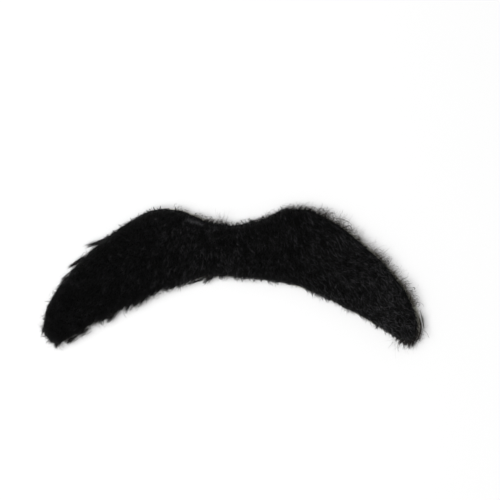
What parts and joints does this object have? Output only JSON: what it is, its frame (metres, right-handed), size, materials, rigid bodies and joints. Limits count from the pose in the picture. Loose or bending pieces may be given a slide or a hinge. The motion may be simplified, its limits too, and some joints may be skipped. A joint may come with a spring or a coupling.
{
  "type": "fake moustache",
  "caption": "Drooping moustache die-cut from short black fur fabric, with a nose notch and a mouth arch, on a self-adhesive back under release paper, lying pile up",
  "frame": {"origin": "middle of the underside of the bridge, under the nose notch, on the face that goes on the upper lip", "axes": "+X along the wings, +Y up the face towards the nose, +Z out of the face on the pile side"},
  "size_m": [0.09, 0.033, 0.005],
  "materials": {
    "release_paper": "satin siliconised paper",
    "adhesive_film": "translucent tacky film",
    "ground_cloth": "matte knit",
    "fur_pile": "matte plush pile"
  },
  "bodies": {
    "root": {"release_paper": "release_paper", "adhesive_film": "adhesive_film", "ground_cloth": "ground_cloth", "fur_pile": "fur_pile"}
  },
  "joints": []
}
